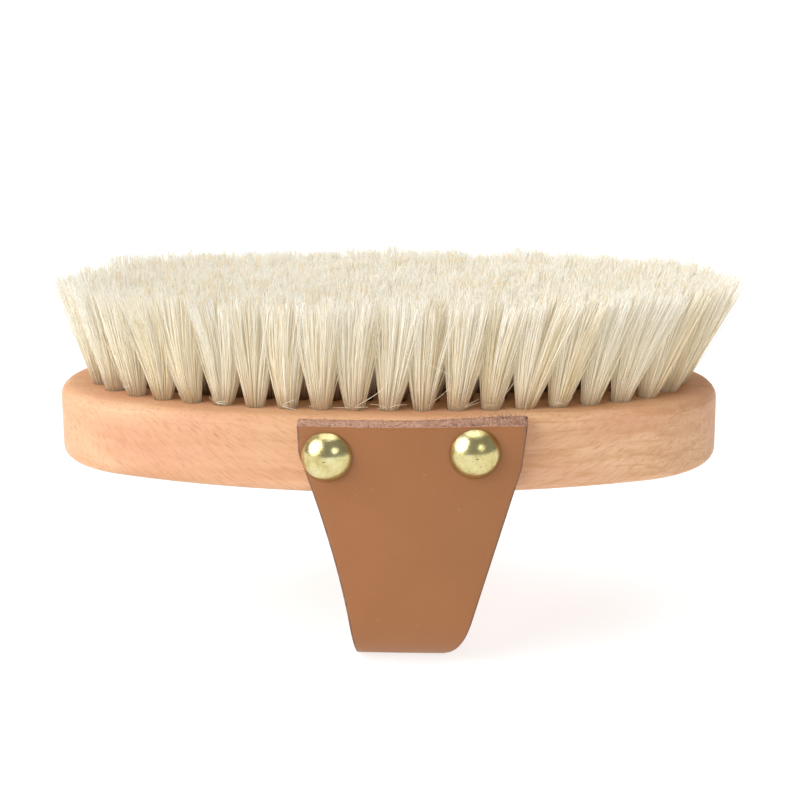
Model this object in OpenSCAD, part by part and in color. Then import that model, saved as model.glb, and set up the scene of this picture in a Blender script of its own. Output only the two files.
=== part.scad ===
// Oval body dry brush: a beech block drilled for bristle tufts, each folded over a wire
// anchor, and a leather hand strap held to the block's sides by four domed nails.
// The brush stands on its strap, bristles up: X runs along the block, the front is at -Y.

/* [Block] */
// Length of the wood block
block_length = 135; // [130:1:145]
// Width of the wood block
block_width = 65; // [62:1:70]
// Thickness of the wood block
block_thickness = 15; // [14:0.5:18]
// Radius of the block's round ends, seen from above
end_radius = 24; // [22:1:26]
// Rounding of the edge around the bristle side
top_round = 2.6; // [2:0.2:4]
// Rounding of the edge around the strap side
bottom_round = 2; // [1:0.2:4]

/* [Bristles] */
// Height of the trimmed bristle tips above the wood
bristle_height = 21.5; // [16:0.5:26]
// Diameter of the tuft holes
hole_d = 3.8; // [3.6:0.1:4.2]
// Depth of the tuft holes, along each hole
hole_depth = 8; // [7:0.5:9]
// Distance from the block's edge to the outermost tufts
edge_margin = 8.4; // [8:0.1:9]
// Distance between one oval row of tufts and the next
row_pitch = 7; // [6.6:0.1:7.2]
// Distance between neighbours in a row
tuft_pitch = 6.5; // [6.4:0.1:7.6]
// How much wider the tuft field is at the tips than at the wood
spread = 1.13; // [1.08:0.01:1.16]
// Diameter of one tuft at its tip
tip_d = 6.6; // [5:0.1:6.8]

/* [Strap] */
// Thickness of the leather
leather_t = 2.6; // [2:0.1:3]
// Drop from the block's lower face to the underside of the loop
loop_drop = 34.5; // [30:0.5:42]
// Outer radius of the loop's two bends
bend_radius = 10; // [8:0.5:12]
// Width of the strap where it is nailed
strap_width = 43.5; // [40:0.5:46]
// Width of the strap at its waist, under the palm
waist_width = 17; // [15:1:22]
// How far the middle of the waist lies to the right of the block's centre
waist_offset = 4.5; // [0:0.5:6]
// How far the nailed ends are shifted from the waist, right in front and left behind
end_shift = 2.8; // [0:0.2:4]

/* [Nails] */
// Diameter of the domed nail cap
cap_d = 9.8; // [9:0.1:10.4]
// Height of the dome
cap_h = 3; // [2.4:0.1:3.4]
// Thickness of the cap's metal
cap_t = 0.5; // [0.4:0.05:0.7]
// Distance between the two nails of one strap end
nail_spacing = 27.8; // [26:0.2:30]
// Height of the nails above the block's lower face
nail_height = 8.5; // [8:0.1:9.5]
// How much higher the right-hand nail sits than the left-hand one
nail_rise = 0.6; // [0:0.2:2]
// Diameter of the nail shank
shank_d = 1.8; // [1.4:0.1:2]
// How deep the shank goes into the wood
shank_depth = 6; // [5:0.2:6.4]

/* [Hidden] */
$fn = 96;

beech = "#e8b98c";
hair = "#ece4cd";
steel = "#b9bcc0";
tan_leather = "#a67450";
brass = "#d8c777";

// Heights
block_z = loop_drop;
face_z = block_z + block_thickness;
tip_z = face_z + bristle_height;

// The block's outline is an oval of four arcs: two end arcs and two long side arcs
end_x = block_length / 2 - end_radius;
end_gap = block_width / 2 - end_radius;
side_offset = (end_x * end_x - end_gap * end_gap) / (2 * end_gap);
side_radius = block_width / 2 + side_offset;
joint_angle = atan2(end_x, side_offset);
end_steps = 12;
side_steps = 8;
round_steps = 5;

// Tuft field
row_power = 2.2;
row_half_x = block_length / 2 - edge_margin;
row_half_y = block_width / 2 - edge_margin;
row_samples = 180;
// Where each row's first tuft lies past the block's right-hand end, as a share of the tuft pitch
outer_phase = 0.82;
inner_phase = 0.5;
centre_row_y = 3.2;
centre_row_count = 9;
centre_row_pitch = 6.9;
tuft_clearance = 0.05;
neck = 0.9;
overrun = 3;

// Wire anchors
wire_t = 0.4;
wire_h = 1.6;
wire_lift = 0.6;
wire_end_gap = 0.1;
wire_slot_gap = 0.02;

// Strap
strap_top_z = face_z - 0.8;
arm_bottom_z = bend_radius + 3;
strap_sweep = 14;
seam_overlap = 2;
// Where the strap's outline bends, beside its nails, its waist and the block's lower face
shoulder_in = 1.4;
shoulder_drop = 3;
flare_in = 0.3;
flare_control_out = 2;
flare_control_drop = 14;
rounding_x = 5;
rounding_z = 9;
waist_z = leather_t + 0.4;
side_samples = 12;
nail_inset = 2.3;
front = 1;
rear = -1;

// Nails
cap_sphere = (cap_d * cap_d / 4 + cap_h * cap_h) / (2 * cap_h);
shank_root = 0.3;
tip_length = 1.6;
tip_r = 0.1;
left = -1;
right = 1;

function power(v, p) = sign(v) * pow(abs(v), p);
function row_point(hx, hy, t) = [hx * power(cos(t), 2 / row_power), hy * power(sin(t), 2 / row_power)];

// Running length along an oval row, as pairs of length and angle
function row_lengths(hx, hy, i = 0, so_far = 0) =
    i > row_samples ? [] :
    let (t = 360 * i / row_samples,
         t_next = 360 * (i + 1) / row_samples,
         step = norm(row_point(hx, hy, t_next) - row_point(hx, hy, t)))
    concat([[so_far, t]], row_lengths(hx, hy, i + 1, so_far + step));

// Evenly spaced tufts along one oval row
function row_places(row) =
    let (hx = row_half_x - row * row_pitch,
         hy = row_half_y - row * row_pitch,
         lengths = row_lengths(hx, hy),
         total = lengths[row_samples][0],
         count = 2 * round(total / tuft_pitch / 2),
         phase = row == 0 ? outer_phase : inner_phase)
    [for (i = [0 : count - 1]) row_point(hx, hy, lookup((i + phase) * total / count, lengths))];

// Two straight rows along the middle, closed by one tuft at each end
function centre_places() =
    concat(
        [for (side = [-1, 1], i = [0 : centre_row_count - 1])
            [(i - (centre_row_count - 1) / 2) * centre_row_pitch, side * centre_row_y]],
        [for (side = [-1, 1]) [side * (centre_row_count + 1) * centre_row_pitch / 2, 0]]);

function lean(place) = atan2((spread - 1) * norm(place), bristle_height);

// Puts a tuft, its hole or its anchor at a place on the bristle face, leaning outward
module at_place(place) {
    translate([place.x, place.y, face_z])
        rotate([0, 0, atan2(place.y, place.x)])
            rotate([0, lean(place), 0])
                children();
}

module wire(gap = 0) {
    end_gap = gap > 0 ? -overrun : 2 * wire_end_gap;
    length = hole_d - end_gap;
    translate([-wire_t / 2 - gap, -length / 2, wire_lift - hole_depth - gap])
        cube([wire_t + 2 * gap, length, wire_h + 2 * gap]);
}

// One tuft: a bundle folded over its wire, straight in the hole and flared above it
module tuft(place) {
    r = hole_d / 2 - tuft_clearance;
    flare = bristle_height / cos(lean(place)) + overrun;
    difference() {
        at_place(place) {
            difference() {
                union() {
                    translate([0, 0, tuft_clearance - hole_depth])
                        cylinder(h = hole_depth - tuft_clearance + neck, r = r);
                    translate([0, 0, neck])
                        cylinder(h = flare - neck, r1 = r, r2 = tip_d / 2);
                }
                wire(wire_slot_gap);
            }
        }
        translate([spread * place.x - tip_d, spread * place.y - tip_d, tip_z])
            cube([2 * tip_d, 2 * tip_d, 2 * overrun + tip_d]);
    }
}

module tufts(places) {
    color(hair)
        for (place = places) tuft(place);
}

module anchors(places) {
    color(steel)
        for (place = places) at_place(place) wire();
}

// Points of a quarter of the oval, moved inward from the block's outline
function quarter_outline(inset) =
    concat(
        [for (i = [0 : end_steps])
            let (a = i * (90 - joint_angle) / end_steps)
            [end_x + (end_radius - inset) * cos(a), (end_radius - inset) * sin(a)]],
        [for (i = [1 : side_steps])
            let (a = joint_angle * (1 - i / side_steps))
            [(side_radius - inset) * sin(a), (side_radius - inset) * cos(a) - side_offset]]);

function outline(inset) =
    let (quarter = quarter_outline(inset),
         last = len(quarter) - 1)
    concat(
        quarter,
        [for (i = [1 : last]) [-quarter[last - i].x, quarter[last - i].y]],
        [for (i = [1 : last]) [-quarter[i].x, -quarter[i].y]],
        [for (i = [1 : last - 1]) [quarter[last - i].x, -quarter[last - i].y]]);

module block_slab(z_low, z_high, inset) {
    translate([0, 0, z_low]) linear_extrude(z_high - z_low) polygon(outline(inset));
}

// The undrilled block: slabs step through the rounding of its lower and upper edges
module block_blank() {
    hull() {
        block_slab(block_z + bottom_round, face_z - top_round, 0);
        for (i = [0 : round_steps - 1]) {
            a = 90 * i / round_steps;
            low_z = block_z + bottom_round * (1 - cos(a));
            high_z = face_z - top_round * (1 - cos(a));
            block_slab(low_z, block_z + bottom_round, bottom_round * (1 - sin(a)));
            block_slab(face_z - top_round, high_z, top_round * (1 - sin(a)));
        }
    }
}

module tuft_hole(place) {
    at_place(place)
        translate([0, 0, -hole_depth]) cylinder(h = hole_depth + overrun, d = hole_d);
}

module wood_block() {
    color(beech)
        difference() {
            block_blank();
            for (row = [0 : 2], place = row_places(row)) tuft_hole(place);
            for (place = centre_places()) tuft_hole(place);
            for (face = [front, rear], side = [left, right])
                at_nail(face, side)
                    translate([0, 0, -shank_depth]) cylinder(h = shank_depth + overrun, d = shank_d);
        }
}

// Turns what is drawn for the front so that it stands at the front or at the rear
module facing(face) {
    rotate([0, 0, face > 0 ? 0 : 180]) children();
}

// Puts a nail on the block's side, pointing outward along +Z, with its origin on the wood
module at_nail(face, side) {
    x = face * waist_offset + end_shift - nail_inset + side * nail_spacing / 2;
    facing(face)
        translate([0, side_offset, block_z + nail_height + side * nail_rise / 2])
            rotate([0, 0, asin(x / side_radius)])
                translate([0, -side_radius, 0])
                    rotate([90, 0, 0])
                        children();
}

module nail_cap(face, side) {
    color(brass)
        at_nail(face, side)
            translate([0, 0, leather_t])
                difference() {
                    intersection() {
                        translate([0, 0, cap_h - cap_sphere]) sphere(cap_sphere);
                        cylinder(h = cap_h + overrun, d = cap_d + overrun);
                    }
                    translate([0, 0, cap_h - cap_sphere]) sphere(cap_sphere - cap_t);
                }
}

module nail_shank(face, side) {
    top = leather_t + cap_h - cap_t - shank_root;
    color(steel)
        at_nail(face, side) {
            translate([0, 0, tip_length - shank_depth])
                cylinder(h = top + shank_depth - tip_length, d = shank_d);
            translate([0, 0, -shank_depth])
                cylinder(h = tip_length, r1 = tip_r, r2 = shank_d / 2);
        }
}

// Half of the strap's loop seen from its edge: up the block's side, round the bend, to the middle
module loop_section() {
    outer = side_radius + leather_t;
    bend_x = outer - bend_radius;
    translate([side_radius, bend_radius]) square([leather_t, strap_top_z - bend_radius]);
    intersection() {
        difference() {
            translate([bend_x, bend_radius]) circle(bend_radius);
            translate([bend_x, bend_radius]) circle(bend_radius - leather_t);
        }
        translate([bend_x, 0]) square(bend_radius);
    }
    translate([side_offset - seam_overlap, 0])
        square([bend_x - side_offset + seam_overlap, leather_t]);
}

function bezier(a, b, c, t) = (1 - t) * (1 - t) * a + 2 * t * (1 - t) * b + t * t * c;

// Outline of one half of the strap seen from the front
function strap_outline() =
    let (top_left = end_shift - strap_width / 2,
         top_right = end_shift + strap_width / 2,
         nail_z = block_z + nail_height,
         waist = waist_width / 2)
    concat(
        [[-waist, -overrun], [waist, -overrun]],
        [for (i = [0 : side_samples])
            bezier([waist, waist_z], [waist + rounding_x - 1, waist_z + 1],
                [waist + rounding_x, rounding_z], i / side_samples)],
        [[top_right - shoulder_in, nail_z - shoulder_drop],
         [top_right, strap_top_z + overrun], [top_left, strap_top_z + overrun]],
        [for (i = [0 : side_samples])
            bezier([top_left + flare_in, nail_z], [-waist - flare_control_out, block_z - flare_control_drop],
                [-waist, waist_z], i / side_samples)]);

// The part of the loop between two heights, front or rear
module strap_half(face, z_low, z_high) {
    reach = 2 * block_width;
    color(tan_leather)
        facing(face)
            intersection() {
                translate([0, side_offset, 0])
                    rotate([0, 0, -90 - strap_sweep])
                        rotate_extrude(angle = 2 * strap_sweep) loop_section();
                translate([face * waist_offset, 0, 0])
                    rotate([90, 0, 0])
                        linear_extrude(reach) polygon(strap_outline());
                translate([-reach / 2, -reach, z_low]) cube([reach, reach, z_high - z_low]);
            }
}

module strap_end(face) {
    difference() {
        strap_half(face, block_z, strap_top_z);
        for (side = [left, right])
            at_nail(face, side)
                translate([0, 0, -overrun]) cylinder(h = leather_t + 2 * overrun, d = shank_d);
    }
}

module strap_bridge() {
    strap_half(front, 0, arm_bottom_z);
    strap_half(rear, 0, arm_bottom_z);
}

wood_block();
tufts(row_places(0));  // tufts_outer_row
tufts(row_places(1));  // tufts_second_row
tufts(row_places(2));  // tufts_third_row
tufts(centre_places());  // tufts_centre_rows
anchors(row_places(0));  // anchors_outer_row
anchors(row_places(1));  // anchors_second_row
anchors(row_places(2));  // anchors_third_row
anchors(centre_places());  // anchors_centre_rows
strap_end(front);  // strap_end_front
strap_half(front, arm_bottom_z, block_z);  // strap_arm_front
strap_bridge();
strap_half(rear, arm_bottom_z, block_z);  // strap_arm_rear
strap_end(rear);  // strap_end_rear
nail_cap(front, left);  // nail_cap_front_left
nail_cap(front, right);  // nail_cap_front_right
nail_cap(rear, left);  // nail_cap_rear_left
nail_cap(rear, right);  // nail_cap_rear_right
nail_shank(front, left);  // nail_shank_front_left
nail_shank(front, right);  // nail_shank_front_right
nail_shank(rear, left);  // nail_shank_rear_left
nail_shank(rear, right);  // nail_shank_rear_right
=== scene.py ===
import math

import bpy
import numpy as np
from mathutils import Matrix, Vector


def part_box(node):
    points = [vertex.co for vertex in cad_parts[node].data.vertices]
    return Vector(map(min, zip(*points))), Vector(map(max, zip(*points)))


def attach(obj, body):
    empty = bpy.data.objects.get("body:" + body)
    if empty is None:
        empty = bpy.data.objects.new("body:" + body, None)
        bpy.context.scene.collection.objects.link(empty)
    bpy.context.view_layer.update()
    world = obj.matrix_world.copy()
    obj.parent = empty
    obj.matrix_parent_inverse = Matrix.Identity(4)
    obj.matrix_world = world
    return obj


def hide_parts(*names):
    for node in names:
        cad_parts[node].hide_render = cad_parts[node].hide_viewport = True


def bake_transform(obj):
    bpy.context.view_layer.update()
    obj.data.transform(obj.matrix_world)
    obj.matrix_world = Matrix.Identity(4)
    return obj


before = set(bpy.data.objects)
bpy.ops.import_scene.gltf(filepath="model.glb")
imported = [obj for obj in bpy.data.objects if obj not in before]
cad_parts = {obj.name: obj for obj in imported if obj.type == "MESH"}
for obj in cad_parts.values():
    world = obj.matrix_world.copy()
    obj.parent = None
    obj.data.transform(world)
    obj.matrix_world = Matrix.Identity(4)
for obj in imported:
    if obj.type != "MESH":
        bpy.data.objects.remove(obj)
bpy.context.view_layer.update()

MM = 0.001
FRONT, REAR = 1, -1

# Block, as in the part's source
BLOCK_LOW, BLOCK_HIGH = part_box("wood_block")
BLOCK_Z, FACE_Z = BLOCK_LOW.z, BLOCK_HIGH.z
TIP_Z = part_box("tufts_outer_row")[1].z
HALF_LENGTH = (BLOCK_HIGH.x - BLOCK_LOW.x) / 2
HALF_WIDTH = (BLOCK_HIGH.y - BLOCK_LOW.y) / 2
END_RADIUS = 24 * MM
END_GAP = HALF_WIDTH - END_RADIUS
SIDE_OFFSET = ((HALF_LENGTH - END_RADIUS) ** 2 - END_GAP**2) / (2 * END_GAP)
SIDE_RADIUS = HALF_WIDTH + SIDE_OFFSET

# Tuft field, as in the part's source
EDGE_MARGIN = 8.4 * MM
ROW_PITCH = 7 * MM
TUFT_PITCH = 6.5 * MM
ROW_POWER = 2.2
ROW_PHASES = (0.82, 0.5, 0.5)
CENTRE_GAP = 6.4 * MM
CENTRE_COUNT = 9
CENTRE_PITCH = 6.9 * MM

# Hairs
ROOT_RADIUS = 1.65 * MM
TIP_RADIUS = 6.0 * MM
LEAN = 0.09
COMBED = np.array([2.1 * MM, 0.0])
LOCKS = 22
LOCK_SCATTER = 0.62
LOCK_PULL = 0.45
FLARE_POWER = 0.92
ROOT_DEPTH = 0.8 * MM
HAIR_ROOT_R = 0.1 * MM
HAIR_TIP_R = 0.055 * MM
HAIR_SHADES = 64
LAST_RING = 0.985

# Strap
LEATHER_T = 2.6 * MM
BEND_RADIUS = 10 * MM
WAIST_HALF = 8.5 * MM
WAIST_X = 4.5 * MM
END_SHIFT = 2.8 * MM
STRAP_HALF = 21.75 * MM
STRAP_TOP_Z = FACE_Z - 0.8 * MM
EDGE_SPREAD = 0.4 * MM
NAIL_Z = BLOCK_Z + 8.5 * MM
NAIL_HALF_SPACING = 13.9 * MM
NAIL_INSET = 2.3 * MM
NAIL_RISE = 0.6 * MM
ACROSS = 48

# Beech grain: where its curve has its crest, and how fast it bends away, per metre
GRAIN_CREST_X = 10.2 * MM
GRAIN_SWEEP = 7.7

WHITE = (1.0, 1.0, 1.0)


# ---------------------------------------------------------------- materials


def new_material(name):
    """An empty material with its shader and a helper that adds nodes."""
    mat = bpy.data.materials.new(name)
    mat.use_nodes = True
    shader = mat.node_tree.nodes["Principled BSDF"]
    return mat, mat.node_tree, shader


def add(tree, kind, inputs=None, **settings):
    """Adds a node; inputs are socket values or the sockets that feed them."""
    node = tree.nodes.new(kind)
    for key, value in settings.items():
        setattr(node, key, value)
    for key, value in (inputs or {}).items():
        if isinstance(value, bpy.types.NodeSocket):
            tree.links.new(value, node.inputs[key])
        else:
            node.inputs[key].default_value = value
    return node


def ramp(tree, factor, stops):
    """A colour ramp fed by a socket; stops are (place, colour) pairs."""
    node = add(tree, "ShaderNodeValToRGB", {"Fac": factor})
    elements = node.color_ramp.elements
    while len(elements) < len(stops):
        elements.new(0.5)
    for element, (place, colour) in zip(elements, stops):
        element.position = place
        element.color = (*colour, 1) if len(colour) == 3 else colour
    return node.outputs["Color"]


def grey(value):
    return (value, value, value)


def mix(tree, factor, a, b, blend="MIX"):
    node = add(tree, "ShaderNodeMix", data_type="RGBA", blend_type=blend)
    for socket, value in ((node.inputs[0], factor), (node.inputs[6], a), (node.inputs[7], b)):
        if isinstance(value, bpy.types.NodeSocket):
            tree.links.new(value, socket)
        elif isinstance(value, tuple):
            socket.default_value = (*value, 1)
        else:
            socket.default_value = value
    return node.outputs[2]


def scaled(tree, vector, scale):
    return add(tree, "ShaderNodeMapping", {"Vector": vector, "Scale": scale}).outputs[0]


def stretched(tree, scale=(1, 1, 1)):
    """Object coordinates in metres, scaled along each axis."""
    return scaled(tree, add(tree, "ShaderNodeTexCoord").outputs["Object"], scale)


def noise(tree, vector, scale=1.0, detail=3.0, rough=0.5, distortion=0.0):
    node = add(
        tree,
        "ShaderNodeTexNoise",
        {"Vector": vector, "Scale": scale, "Detail": detail, "Roughness": rough, "Distortion": distortion},
    )
    return node.outputs["Fac"]


def bump(tree, shader, height, strength, distance):
    node = add(tree, "ShaderNodeBump", {"Height": height, "Strength": strength, "Distance": distance})
    tree.links.new(node.outputs[0], shader.inputs["Normal"])


def grain_place(tree):
    """Coordinates along and across the grain, which sweeps down on both sides of its crest."""
    place = add(tree, "ShaderNodeTexCoord").outputs["Object"]
    parts = add(tree, "ShaderNodeSeparateXYZ", {"Vector": place})
    from_turn = add(tree, "ShaderNodeMath", {0: parts.outputs["X"], 1: GRAIN_CREST_X}, operation="SUBTRACT")
    squared = add(tree, "ShaderNodeMath", {0: from_turn.outputs[0], 1: 2.0}, operation="POWER")
    drop = add(tree, "ShaderNodeMath", {0: squared.outputs[0], 1: GRAIN_SWEEP}, operation="MULTIPLY")
    across = add(tree, "ShaderNodeMath", {0: parts.outputs["Z"], 1: drop.outputs[0]}, operation="SUBTRACT")
    inputs = {"X": parts.outputs["X"], "Y": parts.outputs["Y"], "Z": across.outputs[0]}
    return add(tree, "ShaderNodeCombineXYZ", inputs).outputs[0], parts


def share_between(tree, value, low, high):
    """Where a coordinate lies between two limits, from 0 to 1."""
    inputs = {"Value": value, "From Min": low, "From Max": high}
    return add(tree, "ShaderNodeMapRange", inputs).outputs[0]


def times(tree, a, b):
    return mix(tree, 1.0, a, b, "MULTIPLY")


def beech_tone(tree, bands):
    """Soft growth bands with pinkish patches."""
    stops = [(0.32, (0.63, 0.33, 0.165)), (0.48, (0.725, 0.42, 0.235)), (0.66, (0.80, 0.505, 0.30))]
    pink = noise(tree, stretched(tree, (40, 50, 60)), detail=2)
    pink_mask = ramp(tree, pink, [(0.4, grey(0)), (0.65, grey(0.6))])
    return mix(tree, pink_mask, ramp(tree, bands, stops), (0.70, 0.335, 0.205))


def ring_amount(tree, share_x):
    """Wavy growth lines, strongest at the right."""
    rings = noise(tree, stretched(tree, (45, 260, 800)), detail=4, rough=0.6, distortion=0.6)
    ring_mask = ramp(tree, rings, [(0.47, grey(0)), (0.66, grey(0.7))])
    return times(tree, ring_mask, ramp(tree, share_x, [(0.3, grey(0.3)), (0.7, WHITE)]))


def fleck_amount(tree, grain, share_x, share_z):
    """Short ray flecks in patches on the block's side, strongest at the left."""
    flecks = noise(tree, scaled(tree, grain, (300, 1200, 3600)), detail=1, distortion=0.25)
    fleck_mask = ramp(tree, flecks, [(0.6, grey(0)), (0.68, grey(1))])
    patches = noise(tree, stretched(tree, (42, 60, 110)), detail=2)
    patch_mask = ramp(tree, patches, [(0.4, grey(0.2)), (0.58, grey(0.85))])
    side_stops = [(0.0, grey(0)), (0.15, grey(1)), (0.75, grey(1)), (0.95, grey(0))]
    amount = times(tree, times(tree, fleck_mask, patch_mask), ramp(tree, share_z, side_stops))
    return times(tree, amount, ramp(tree, share_x, [(0.3, WHITE), (0.7, grey(0.2))]))


def beech_material():
    """Steamed beech: pinkish, with soft growth bands and short darker ray flecks."""
    mat, tree, shader = new_material("beech")
    grain, parts = grain_place(tree)
    share_x = share_between(tree, parts.outputs["X"], -70 * MM, 70 * MM)
    share_z = share_between(tree, parts.outputs["Z"], BLOCK_Z, FACE_Z)
    bands = noise(tree, stretched(tree, (12, 70, 190)), detail=4, distortion=0.5)
    lines = noise(tree, scaled(tree, grain, (130, 1500, 2100)), detail=3, rough=0.6)
    line_mask = ramp(tree, lines, [(0.5, grey(0)), (0.7, grey(0.6))])
    colour = mix(tree, line_mask, beech_tone(tree, bands), (0.55, 0.26, 0.125))
    colour = mix(tree, ring_amount(tree, share_x), colour, (0.60, 0.30, 0.135))
    colour = mix(tree, fleck_amount(tree, grain, share_x, share_z), colour, (0.47, 0.19, 0.08))
    tree.links.new(colour, shader.inputs["Base Color"])
    rough = ramp(tree, bands, [(0.3, grey(0.46)), (0.7, grey(0.56))])
    tree.links.new(rough, shader.inputs["Roughness"])
    shader.inputs["Specular IOR Level"].default_value = 0.35
    bump(tree, shader, lines, 0.1, 0.00015)
    return mat


def hair_material(name, root_tone_and_shade, root_glow):
    """Pale goat hair. u picks a hair's shade, v runs from its root to its tip."""
    mat, tree, shader = new_material(name)
    uv = add(tree, "ShaderNodeUVMap", uv_map="OFBake").outputs[0]
    parts = add(tree, "ShaderNodeSeparateXYZ", {"Vector": uv})
    across, along = parts.outputs["X"], parts.outputs["Y"]
    shade_stops = [
        (0.0, (0.78, 0.65, 0.42)),
        (0.1, (0.89, 0.79, 0.57)),
        (0.35, (0.935, 0.885, 0.755)),
        (0.6, (0.945, 0.905, 0.80)),
        (0.85, (0.94, 0.92, 0.83)),
        (1.0, (0.97, 0.95, 0.88)),
    ]
    # v = 0 takes the root tone: the hair's own cream on the outer rows, a dark brown painted shade on the
    # inner rows.
    length_stops = [
        (0.0, root_tone_and_shade),
        (0.35, (0.98, 0.94, 0.86)),
        (0.8, (0.97, 0.97, 0.98)),
        (1.0, (0.92, 0.94, 0.95)),
    ]
    colour = times(tree, ramp(tree, across, shade_stops), ramp(tree, along, length_stops))
    tree.links.new(colour, shader.inputs["Base Color"])
    shader.inputs["Roughness"].default_value = 0.5
    shader.inputs["Specular IOR Level"].default_value = 0.35
    # A weak glow stands for the light that pale hairs pass on to each other
    glow = times(tree, colour, ramp(tree, along, [(0.05, grey(root_glow)), (0.4, WHITE)]))
    tree.links.new(glow, shader.inputs["Emission Color"])
    shader.inputs["Emission Strength"].default_value = 0.12
    return mat


def leather_material():
    """Smooth tan leather with a fine grain and a few scuffs."""
    mat, tree, shader = new_material("tan_leather")
    place = stretched(tree)
    cloud = noise(tree, place, scale=60, detail=5, rough=0.55)
    stops = [(0.3, (0.325, 0.128, 0.043)), (0.55, (0.34, 0.136, 0.048)), (0.75, (0.355, 0.145, 0.054))]
    tone = ramp(tree, cloud, stops)
    speck = noise(tree, place, scale=900, detail=2)
    speck_mask = ramp(tree, speck, [(0.75, grey(0)), (0.8, grey(0.5))])
    colour = mix(tree, speck_mask, tone, (0.42, 0.25, 0.14))
    tree.links.new(colour, shader.inputs["Base Color"])
    inputs = {"Vector": place, "Scale": 1700.0}
    cells = add(tree, "ShaderNodeTexVoronoi", inputs, feature="DISTANCE_TO_EDGE")
    cell_height = ramp(tree, cells.outputs["Distance"], [(0.0, grey(0)), (0.25, grey(1))])
    waves = noise(tree, place, scale=260, detail=4)
    height = mix(tree, 0.5, cell_height, waves)
    bump(tree, shader, height, 0.22, 0.00012)
    rough = ramp(tree, cloud, [(0.3, grey(0.42)), (0.7, grey(0.54))])
    tree.links.new(rough, shader.inputs["Roughness"])
    shader.inputs["Specular IOR Level"].default_value = 0.35
    return mat


def burnished_material():
    """The leather's outer corner, darkened by burnishing."""
    mat, tree, shader = new_material("burnished_edge")
    wear = noise(tree, stretched(tree), scale=700, detail=3)
    tone = ramp(tree, wear, [(0.35, (0.14, 0.062, 0.032)), (0.65, (0.24, 0.11, 0.058))])
    tree.links.new(tone, shader.inputs["Base Color"])
    shader.inputs["Roughness"].default_value = 0.5
    return mat


def raw_edge_material():
    """The strap's cut edge: pinkish brown fibres without a finish."""
    mat, tree, shader = new_material("leather_raw_edge")
    place = stretched(tree)
    fibres = noise(tree, place, scale=2600, detail=5, rough=0.7)
    stops = [(0.3, (0.27, 0.12, 0.08)), (0.5, (0.50, 0.28, 0.19)), (0.7, (0.70, 0.46, 0.35))]
    tone = ramp(tree, fibres, stops)
    tree.links.new(tone, shader.inputs["Base Color"])
    bump(tree, shader, fibres, 0.8, 0.0003)
    shader.inputs["Roughness"].default_value = 0.85
    return mat


def brass_material():
    """Pale polished brass plating, lightly pitted and dulled in places."""
    mat, tree, shader = new_material("brass")
    place = stretched(tree)
    tarnish = noise(tree, place, scale=420, detail=5, rough=0.6)
    stops = [(0.32, (0.52, 0.43, 0.17)), (0.5, (0.65, 0.57, 0.27)), (0.7, (0.73, 0.67, 0.37))]
    tone = ramp(tree, tarnish, stops)
    pits = noise(tree, place, scale=2600, detail=2)
    pit_mask = ramp(tree, pits, [(0.68, grey(0)), (0.76, grey(1))])
    colour = mix(tree, pit_mask, tone, (0.22, 0.16, 0.06))
    tree.links.new(colour, shader.inputs["Base Color"])
    shader.inputs["Metallic"].default_value = 1.0
    rough = ramp(tree, tarnish, [(0.35, grey(0.27)), (0.65, grey(0.19))])
    tree.links.new(rough, shader.inputs["Roughness"])
    dents = noise(tree, place, scale=700, detail=3)
    bump(tree, shader, mix(tree, 0.3, dents, pits), 0.3, 0.0002)
    return mat


def steel_material():
    """Drawn steel wire with fine lengthwise lines."""
    mat, tree, shader = new_material("steel_wire")
    lines = noise(tree, stretched(tree, (3000, 3000, 600)), detail=2)
    tone = ramp(tree, lines, [(0.35, grey(0.45)), (0.65, grey(0.66))])
    tree.links.new(tone, shader.inputs["Base Color"])
    shader.inputs["Metallic"].default_value = 1.0
    shader.inputs["Roughness"].default_value = 0.32
    return mat


def floor_material():
    """White paper on a light table."""
    mat, tree, shader = new_material("studio_paper")
    shader.inputs["Base Color"].default_value = (0.4, 0.4, 0.4, 1)
    shader.inputs["Roughness"].default_value = 0.9
    shader.inputs["Specular IOR Level"].default_value = 0.0
    shader.inputs["Emission Color"].default_value = (1, 1, 1, 1)
    shader.inputs["Emission Strength"].default_value = 0.75
    return mat


# ---------------------------------------------------------------- meshes


def new_object(name, mesh, *mats):
    obj = bpy.data.objects.new(name, mesh)
    bpy.context.scene.collection.objects.link(obj)
    for mat in mats:
        mesh.materials.append(mat)
    return obj


def triangle_mesh(name, points, triangles, uvs):
    """A smooth mesh of triangles with its own bake layout, from arrays."""
    mesh = bpy.data.meshes.new(name)
    mesh.vertices.add(len(points))
    mesh.vertices.foreach_set("co", points.astype(np.float32).ravel())
    mesh.loops.add(triangles.size)
    mesh.loops.foreach_set("vertex_index", triangles.astype(np.int32).ravel())
    mesh.polygons.add(len(triangles))
    mesh.polygons.foreach_set("loop_start", np.arange(0, triangles.size, 3, dtype=np.int32))
    mesh.polygons.foreach_set("use_smooth", np.ones(len(triangles), bool))
    layer = mesh.uv_layers.new(name="OFBake")
    layer.data.foreach_set("uv", uvs.astype(np.float32).ravel())
    mesh.update(calc_edges=True)
    mesh.validate()
    return mesh


def hair_triangles(steps):
    """Triangles of one hair: rings of three points, a point at the tip and a cap at the root."""
    made = []
    for k in range(steps - 1):
        for j in range(3):
            a, b = 3 * k + j, 3 * k + (j + 1) % 3
            made += [(a, b, b + 3), (a, b + 3, a + 3)]
    last = 3 * (steps - 1)
    tip = 3 * steps
    made += [(last + j, last + (j + 1) % 3, tip) for j in range(3)]
    made.append((2, 1, 0))
    return np.array(made)


def hair_steps(steps):
    """Places of a hair's rings from root to tip, with the last ring close to the cut tip."""
    return np.append(np.linspace(0, LAST_RING, steps), 1.0)


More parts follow.
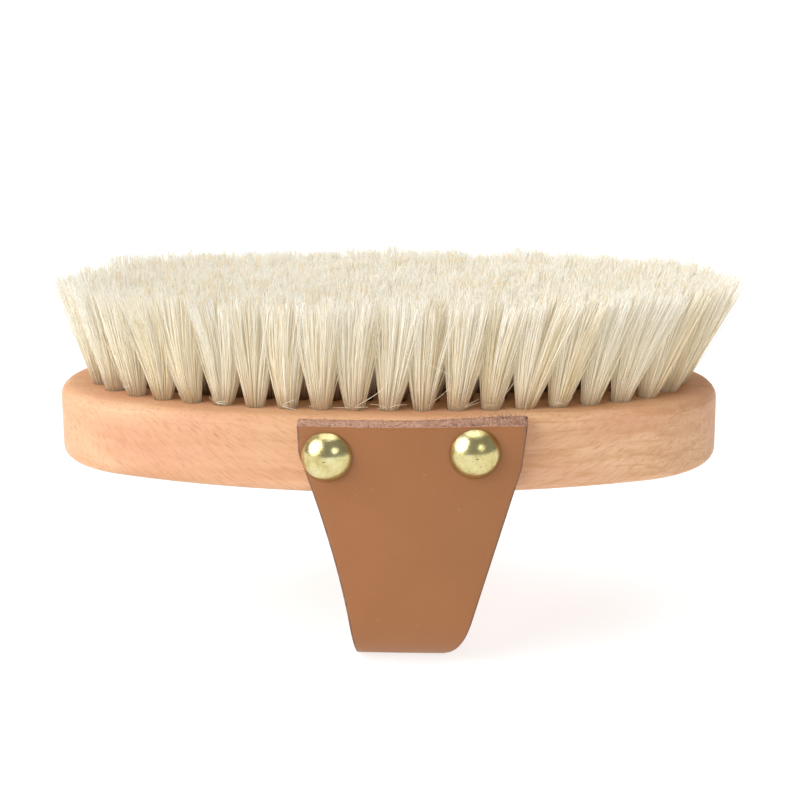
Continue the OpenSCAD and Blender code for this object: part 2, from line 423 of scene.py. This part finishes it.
def hair_mesh(name, paths, root_r, tip_r, shades):
    """One mesh of many hairs. paths is (hairs, steps + 1, 3); shades runs from 0 to 1."""
    hairs, steps = paths.shape[0], paths.shape[1] - 1
    along = hair_steps(steps)
    ahead = np.diff(paths, axis=1)
    ahead = np.concatenate([ahead, ahead[:, -1:]], axis=1)
    ahead /= np.linalg.norm(ahead, axis=2, keepdims=True) + 1e-12
    side = np.cross(ahead, np.array([0.35, 0.93, 0.1]))
    side /= np.linalg.norm(side, axis=2, keepdims=True) + 1e-12
    other = np.cross(ahead, side)
    radius = (root_r + (tip_r - root_r) * along)[None, :, None]
    corners = []
    for j in range(3):
        turn = 2 * math.pi * j / 3
        corners.append(paths + radius * (math.cos(turn) * side + math.sin(turn) * other))
    rings = np.stack(corners, axis=2)[:, :steps].reshape(hairs, steps * 3, 3)
    points = np.concatenate([rings, paths[:, -1:]], axis=1)
    local = hair_triangles(steps)
    count = points.shape[1]
    triangles = (local[None] + count * np.arange(hairs)[:, None, None]).reshape(-1, 3)
    return triangle_mesh(name, points.reshape(-1, 3), triangles, hair_uvs(local, steps, shades))


def hair_uvs(local, steps, shades):
    """Every hair lies in the strip of its own shade, from v = 0 at the root to v = 1 at the tip."""
    level = np.minimum(local // 3, steps) / steps
    corner = (local % 3) / 2
    corner[local == 3 * steps] = 0.5
    strip = np.floor(shades * (HAIR_SHADES - 1)) / HAIR_SHADES
    u = strip[:, None, None] + (0.15 + 0.7 * corner[None]) / HAIR_SHADES
    v = np.broadcast_to(0.01 + 0.98 * level[None], u.shape)
    return np.stack([u, v], axis=-1).reshape(-1, 2)


# ---------------------------------------------------------------- bristles


def oval_point(half_x, half_y, turn):
    c, s = np.cos(turn), np.sin(turn)
    power = 2 / ROW_POWER
    x = half_x * np.sign(c) * np.abs(c) ** power
    y = half_y * np.sign(s) * np.abs(s) ** power
    return np.stack([x, y], -1)


def row_places(row):
    """Evenly spaced tufts along one oval row, by the rule of the part's source."""
    half_x = HALF_LENGTH - EDGE_MARGIN - row * ROW_PITCH
    half_y = HALF_WIDTH - EDGE_MARGIN - row * ROW_PITCH
    turns = np.linspace(0, 2 * math.pi, 181)
    points = oval_point(half_x, half_y, turns)
    lengths = np.concatenate([[0], np.cumsum(np.linalg.norm(np.diff(points, axis=0), axis=1))])
    count = 2 * round(lengths[-1] / TUFT_PITCH / 2)
    at = (np.arange(count) + ROW_PHASES[row]) * lengths[-1] / count
    return oval_point(half_x, half_y, np.interp(at, lengths, turns))


def centre_places():
    rows = [
        ((i - (CENTRE_COUNT - 1) / 2) * CENTRE_PITCH, side * CENTRE_GAP / 2)
        for side in (-1, 1)
        for i in range(CENTRE_COUNT)
    ]
    ends = [(side * (CENTRE_COUNT + 1) * CENTRE_PITCH / 2, 0) for side in (-1, 1)]
    return np.array(rows + ends)


def tuft_hairs(place, rng, hairs, steps):
    """Hair paths and shades of one tuft: tight at the wood, opening into locks with trimmed tips."""
    reach = np.sqrt(rng.random(hairs))
    turn = rng.random(hairs) * 2 * math.pi
    spot = np.stack([reach * np.cos(turn), reach * np.sin(turn)], -1)
    locks = rng.normal(0, LOCK_SCATTER, (LOCKS, 2))
    lock = np.argmin(np.linalg.norm(spot[:, None] - locks[None], axis=2), axis=1)
    t = hair_steps(steps)[None, :, None]
    gathered = spot[:, None] + (locks[lock] - spot)[:, None] * LOCK_PULL * t
    spread = ROOT_RADIUS + (TIP_RADIUS * rng.normal(1, 0.06) - ROOT_RADIUS) * t**FLARE_POWER
    lean = LEAN * place + COMBED + rng.normal(0, 0.45 * MM, 2)
    sag = rng.normal(0, 0.35 * MM, 2) * np.sin(math.pi * t)
    lock_drift = rng.normal(0, 0.4 * MM, (LOCKS, 2))[lock][:, None] * t**1.5
    stray = rng.normal(0, 0.6 * MM, (hairs, 1, 2)) * t
    phase = rng.random((hairs, 1, 1)) * 2 * math.pi
    waves = rng.uniform(0.5, 1.5, (hairs, 1, 1))
    swing = rng.normal(0, 0.3 * MM, (hairs, 1, 2))
    wave = swing * (np.sin(2 * math.pi * waves * t + phase) - np.sin(phase)) * t
    flat = place + lean * t + sag + gathered * spread + lock_drift + stray + wave
    trim = rng.normal(0.5 * MM, 0.25 * MM, LOCKS)[lock] + rng.normal(0, 0.45 * MM, hairs)
    trim += rng.normal(0, 0.25 * MM) - 0.7 * MM * reach**2
    top = TIP_Z - FACE_Z + trim[:, None]
    z = FACE_Z - ROOT_DEPTH + (top + ROOT_DEPTH) * t[..., 0]
    tone = 0.5 + rng.normal(0, 0.06) + rng.normal(0, 0.15, LOCKS)[lock]
    shades = np.clip(tone + rng.normal(0, 0.2, hairs), 0, 1)
    return np.concatenate([flat, z[..., None]], axis=-1), shades


def bristle_piece(name, places, node, mat, seed, hairs, steps):
    """The hair of some of a row's tufts, standing for the row's CAD solids."""
    rng = np.random.default_rng(seed)
    tufts = [tuft_hairs(place, rng, hairs, steps) for place in places]
    paths = np.concatenate([tuft[0] for tuft in tufts])
    shades = np.concatenate([tuft[1] for tuft in tufts])
    mesh = hair_mesh(name, paths, HAIR_ROOT_R, HAIR_TIP_R, shades)
    obj = new_object(name, mesh, mat)
    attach(obj, "brush")
    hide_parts(node)


def stray_paths(rng, count, steps, lengths, rise):
    """Bent hairs that leave the outer tufts sideways and cross the gaps between them."""
    outer = row_places(0)
    start = outer[rng.integers(0, len(outer), count)]
    out = start / np.linalg.norm(start, axis=1, keepdims=True)
    along = np.stack([-out[:, 1], out[:, 0]], -1) * rng.choice([-1, 1], (count, 1))
    t = hair_steps(steps)[None, :, None]
    length = rng.uniform(*lengths, (count, 1, 1)) * MM
    bend = rng.uniform(-1.3, 1.3, (count, 1, 1))
    sideways = length * 0.8 * (t + bend * t * (1 - t))
    flat = (start + out * 1.6 * MM)[:, None] + along[:, None] * sideways
    flat = flat + out[:, None] * length * 0.2 * np.sin(math.pi * t)
    climb = rng.uniform(*rise, (count, 1, 1))
    z = FACE_Z + 0.5 * MM + length * (climb * t - 0.3 * t * t)
    return np.concatenate([flat, z], axis=-1)


def stray_hairs(mat):
    rng = np.random.default_rng(77)
    curls = stray_paths(rng, 90, 8, (2, 5.5), (0.25, 0.9))
    crossing = stray_paths(rng, 14, 8, (8, 15), (0.9, 1.5))
    paths = np.concatenate([curls, crossing])
    mesh = hair_mesh("stray_hairs", paths, 0.06 * MM, 0.04 * MM, rng.uniform(0.1, 0.9, len(paths)))
    obj = new_object("stray_hairs", mesh, mat)
    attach(obj, "brush")


def bristles():
    pale = hair_material("bristle_hair", (0.97, 0.87, 0.72), 0.6)
    # The inner rows take a dark brown root tone and almost no glow at their feet: painted shade, which
    # darkens the gaps between the front tufts.
    shaded_root_hair = hair_material("bristle_hair_inner_root_shade", (0.50, 0.34, 0.22), 0.05)
    outer = row_places(0)
    is_front = outer[:, 1] < 0
    bristle_piece("hair_outer_front", outer[is_front], "tufts_outer_row", pale, 11, 335, 5)
    bristle_piece("hair_outer_rear", outer[~is_front], "tufts_outer_row", pale, 12, 335, 5)
    bristle_piece("hair_second_row", row_places(1), "tufts_second_row", shaded_root_hair, 13, 250, 4)
    bristle_piece("hair_third_row", row_places(2), "tufts_third_row", shaded_root_hair, 14, 300, 4)
    bristle_piece("hair_centre_rows", centre_places(), "tufts_centre_rows", shaded_root_hair, 15, 400, 4)
    stray_hairs(pale)


# ---------------------------------------------------------------- strap


def bezier(a, b, c, count=40):
    t = np.linspace(0, 1, count)[:, None]
    return (1 - t) ** 2 * np.array(a) + 2 * t * (1 - t) * np.array(b) + t**2 * np.array(c)


def strap_edges(z):
    """Left and right edge of the strap at a height, measured from the middle of its waist."""
    waist_z = LEATHER_T + 0.4 * MM
    left_line = bezier(
        (END_SHIFT - STRAP_HALF + 0.3 * MM, NAIL_Z),
        (-WAIST_HALF - 2 * MM, BLOCK_Z - 14 * MM),
        (-WAIST_HALF, waist_z),
    )[::-1]
    right_bend = bezier(
        (WAIST_HALF, 2.2 * MM), (WAIST_HALF + 3.2 * MM, 3.2 * MM), (WAIST_HALF + 5.4 * MM, 9.8 * MM)
    )
    top_right = END_SHIFT + STRAP_HALF
    right_x = [*right_bend[:, 0], top_right - 1.4 * MM, top_right]
    right_z = [*right_bend[:, 1], NAIL_Z - 3 * MM, STRAP_TOP_Z + 3 * MM]
    left_x = [*left_line[:, 0], END_SHIFT - STRAP_HALF]
    left_z = [*left_line[:, 1], STRAP_TOP_Z + 3 * MM]
    return np.interp(z, left_z, left_x) - EDGE_SPREAD, np.interp(z, right_z, right_x) + EDGE_SPREAD


def loop_stations():
    """Stations along half the loop, from its nailed end to the middle: (inner y, z), (outer y, z)."""
    made = []
    for z in np.linspace(STRAP_TOP_Z, BEND_RADIUS, 46)[:-1]:
        made.append((-HALF_WIDTH, z, -HALF_WIDTH - LEATHER_T, z))
    centre_y = -HALF_WIDTH - LEATHER_T + BEND_RADIUS
    inner = BEND_RADIUS - LEATHER_T
    for a in np.linspace(0, math.pi / 2, 17):
        y, z = math.cos(a), math.sin(a)
        near = (centre_y - inner * y, BEND_RADIUS - inner * z)
        far = (centre_y - BEND_RADIUS * y, BEND_RADIUS - BEND_RADIUS * z)
        made.append((*near, *far))
    for y in np.linspace(centre_y, 0, 11)[1:]:
        made.append((y, LEATHER_T, y, 0))
    return made


def smooth(value):
    value = min(max(value, 0), 1)
    return value * value * (3 - 2 * value)


def dimple(x, z):
    """How far the nails press the leather in, at a place on the strap's face."""
    depth = 0
    for side in (-1, 1):
        nail_x = END_SHIFT - NAIL_INSET + side * NAIL_HALF_SPACING
        away = math.hypot(x - nail_x, z - NAIL_Z - side * NAIL_RISE / 2)
        depth += 0.35 * MM * math.exp(-((away / (5.2 * MM)) ** 2))
    return depth


def stand_off(x, z):
    """The stiff corner beyond the right-hand nail stands away from the curved block."""
    return 0.9 * MM * smooth((x - 17 * MM) / (8 * MM)) * smooth((z - NAIL_Z + 2 * MM) / (6 * MM))


def bow(x):
    return SIDE_RADIUS - math.sqrt(SIDE_RADIUS**2 - x * x)


def strap_section(station):
    """Points round one section, outer face first, with how deep each lies: 0 inner, 1 outer."""
    mid_z = (station[1] + station[3]) / 2
    left, right = strap_edges(mid_z)
    round_r = 0.45 * MM
    across = np.linspace(left + round_r, right - round_r, ACROSS)
    section = [(x, 1.0) for x in across]
    corner = np.linspace(0, math.pi / 2, 5)[1:]
    share = round_r / LEATHER_T
    down = [(math.sin(a), 1 - share + share * math.cos(a)) for a in corner]
    down += [(1.0, 0.55), (1.0, 0.3), (1.0, 0.1), (0.8, 0.02)]
    section += [(right - round_r + round_r * s, d) for s, d in down]
    section += [(x, 0.0) for x in across[::-1]]
    section += [(left + round_r - round_r * s, d) for s, d in down[::-1]]
    return section


def strap_point(station, face, x, depth):
    y = station[0] + (station[2] - station[0]) * depth
    z = station[1] + (station[3] - station[1]) * depth
    block_x = x + face * WAIST_X
    y += bow(block_x) * smooth((z + 10 * MM) / (30 * MM))
    y -= stand_off(x, z)
    y += dimple(x, z) * depth
    slant = 0.7 + 0.6 * smooth(x / (24 * MM))
    z += (1 - depth) * slant * MM * smooth((z - STRAP_TOP_Z + 3 * MM) / (3 * MM))
    return (face * (x + face * WAIST_X), face * y, z)


def strap_rings():
    half = loop_stations()
    rings = []
    for face, stations in ((FRONT, half), (REAR, half[-2::-1])):
        for station in stations:
            section = strap_section(station)
            ring = [strap_point(station, face, x, depth) for x, depth in section]
            rings.append(ring if face == FRONT else mirror_order(ring))
    return rings


def mirror_order(ring):
    """Turns a rear section so that its points run in the same order as a front one's."""
    side = (len(ring) - 2 * ACROSS) // 2
    outer, right = ring[:ACROSS], ring[ACROSS : ACROSS + side]
    inner, left = ring[ACROSS + side : 2 * ACROSS + side], ring[2 * ACROSS + side :]
    return outer[::-1] + left[::-1] + inner[::-1] + right[::-1]


def strap_faces(rings):
    """Faces between the sections: material 1 on the cut edges, 2 on their burnished outer corner."""
    count, around = len(rings), len(rings[0])
    side = (around - 2 * ACROSS) // 2
    faces, mats = [], []
    for i in range(count - 1):
        for j in range(around):
            k = (j + 1) % around
            faces.append((i * around + j, i * around + k, (i + 1) * around + k, (i + 1) * around + j))
            on_right = ACROSS + 3 <= j < ACROSS + side - 1
            on_left = 2 * ACROSS + side + 1 <= j < around - 4
            on_corner = ACROSS <= j < ACROSS + 3 or j >= around - 4
            mats.append(1 if on_right or on_left else 2 if on_corner else 0)
    return faces, mats


def end_cap(points, faces, mats, ring_start, around, up, rng):
    """Closes a cut end with rough strips across the leather's thickness."""
    side = (around - 2 * ACROSS) // 2
    outer = [ring_start + i for i in range(ACROSS)]
    inner = [ring_start + 2 * ACROSS + side - 1 - i for i in range(ACROSS)]
    rows = [outer]
    for share in (0.12, 0.35, 0.6, 0.85):
        row = []
        for a, b in zip(outer, inner):
            spot = np.array(points[a]) * (1 - share) + np.array(points[b]) * share
            spot[2] += (0.28 * math.sin(math.pi * share) + rng.normal(0, 0.08)) * MM
            row.append(len(points))
            points.append(tuple(spot))
        rows.append(row)
    rows.append(inner)
    for near, far in zip(rows, rows[1:]):
        for i in range(ACROSS - 1):
            quad = (near[i], far[i], far[i + 1], near[i + 1])
            faces.append(quad if up else quad[::-1])
            mats.append(1)
    right = [row[-1] for row in rows] + [ring_start + ACROSS + side - 1 - i for i in range(side)]
    left = [row[0] for row in rows] + [ring_start + 2 * ACROSS + side + i for i in range(side)]
    for loop, flip in ((right, up), (left, not up)):
        faces.append(tuple(loop) if flip else tuple(loop[::-1]))
        mats.append(1)


def strap():
    rings = strap_rings()
    around = len(rings[0])
    points = [point for ring in rings for point in ring]
    faces, mats = strap_faces(rings)
    rng = np.random.default_rng(5)
    end_cap(points, faces, mats, 0, around, True, rng)
    end_cap(points, faces, mats, (len(rings) - 1) * around, around, False, rng)
    mesh = bpy.data.meshes.new("strap_leather")
    mesh.from_pydata(points, [], faces)
    mesh.polygons.foreach_set("material_index", mats)
    mesh.polygons.foreach_set("use_smooth", [True] * len(faces))
    mesh.update()
    layers = (leather_material(), raw_edge_material(), burnished_material())
    obj = new_object("strap_leather", mesh, *layers)
    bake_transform(obj)
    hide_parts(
        "strap_end_front", "strap_arm_front", "strap_bridge", "strap_arm_rear", "strap_end_rear"
    )


def strap_fibres(face, mat, seed):
    """Short raw fibres that stand out of the cut end."""
    rng = np.random.default_rng(seed)
    count = 2600
    steps = 3
    left, right = strap_edges(STRAP_TOP_Z)
    station = loop_stations()[0]
    x = rng.uniform(left + 0.2 * MM, right - 0.2 * MM, count)
    depth = rng.uniform(0.04, 0.96, count)
    roots = np.array([strap_point(station, face, a, d) for a, d in zip(x, depth)])
    roots[:, 2] += 0.05 * MM
    ahead = rng.normal(0, 0.6, (count, 3))
    ahead[:, 2] = np.abs(ahead[:, 2]) + 0.25
    fray = 0.08 + 0.12 * np.clip(x / (20 * MM), 0, 1)
    length = (rng.gamma(2.0, 1.0, count) * fray * MM)[:, None, None]
    t = hair_steps(steps)[None, :, None]
    curl = rng.normal(0, 0.5, (count, 1, 3))
    paths = roots[:, None] + length * (ahead[:, None] * t + curl * t * t)
    name = "strap_fibres_front" if face == FRONT else "strap_fibres_rear"
    mesh = hair_mesh(name, paths, 0.045 * MM, 0.02 * MM, rng.random(count))
    obj = new_object(name, mesh, mat)
    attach(obj, "brush")


def fibre_material():
    """Loose leather fibres, each with its own shade by u."""
    mat, tree, shader = new_material("leather_fibres")
    uv = add(tree, "ShaderNodeUVMap", uv_map="OFBake").outputs[0]
    parts = add(tree, "ShaderNodeSeparateXYZ", {"Vector": uv})
    stops = [(0.0, (0.20, 0.09, 0.06)), (0.5, (0.46, 0.25, 0.17)), (1.0, (0.72, 0.49, 0.38))]
    tone = ramp(tree, parts.outputs["X"], stops)
    tree.links.new(tone, shader.inputs["Base Color"])
    shader.inputs["Roughness"].default_value = 0.8
    return mat


# ---------------------------------------------------------------- dressing and studio


def dress_nodes():
    """Gives every carried-over CAD node its material."""
    beech, brass, steel = beech_material(), brass_material(), steel_material()
    for name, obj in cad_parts.items():
        if name == "wood_block":
            mat = beech
        elif name.startswith("nail_cap"):
            mat = brass
        elif name.startswith(("nail_shank", "anchors")):
            mat = steel
        else:
            continue
        obj.data.materials.clear()
        obj.data.materials.append(mat)


def studio_floor():
    mesh = bpy.data.meshes.new("studio_floor")
    reach = 6.0
    corners = [(-reach, -reach, 0), (reach, -reach, 0), (reach, reach, 0), (-reach, reach, 0)]
    mesh.from_pydata(corners, [], [(0, 1, 2, 3)])
    obj = new_object("studio_floor", mesh, floor_material())


def soft_sun(name, towards, width, strength):
    """A broad, even light shining from the given direction; width is in degrees."""
    data = bpy.data.lights.new(name, "SUN")
    data.energy = strength * math.pi
    data.angle = math.radians(width)
    obj = bpy.data.objects.new(name, data)
    bpy.context.scene.collection.objects.link(obj)
    obj.rotation_mode = "QUATERNION"
    obj.rotation_quaternion = Vector(towards).to_track_quat("Z", "Y")


def studio_light():
    world = bpy.data.worlds.new("studio")
    bpy.context.scene.world = world
    world.use_nodes = True
    background = world.node_tree.nodes["Background"]
    background.inputs["Color"].default_value = (1.0, 1.0, 1.0, 1)
    background.inputs["Strength"].default_value = 0.3
    soft_sun("key", (-0.75, -0.43, 0.5), 54, 0.88)
    soft_sun("top", (0.0, 0.2, 0.98), 60, 0.4)
    soft_sun("fill", (0.5, -0.75, 0.44), 22, 0.08)


def camera():
    """The viewing angle: a little above the brush, turned slightly so that its right end is nearer."""
    data = bpy.data.cameras.new("camera")
    data.sensor_width = 36
    data.lens = 85.3
    data.clip_start = 0.01
    data.clip_end = 20
    obj = bpy.data.objects.new("camera", data)
    bpy.context.scene.collection.objects.link(obj)
    bpy.context.scene.camera = obj
    turn, tilt, roll = math.radians(3.72), math.radians(14.67), math.radians(-0.4)
    ahead = Vector((-math.sin(turn) * math.cos(tilt), math.cos(turn) * math.cos(tilt), -math.sin(tilt)))
    look = ahead.to_track_quat("-Z", "Y").to_matrix().to_4x4()
    obj.matrix_world = Matrix.Translation((0.0274, -0.3790, 0.1444)) @ look @ Matrix.Rotation(roll, 4, "Z")


bpy.context.scene.view_settings.view_transform = "Standard"
dress_nodes()
bristles()
strap()
fibres = fibre_material()
strap_fibres(FRONT, fibres, 21)
strap_fibres(REAR, fibres, 22)
studio_floor()
studio_light()
camera()
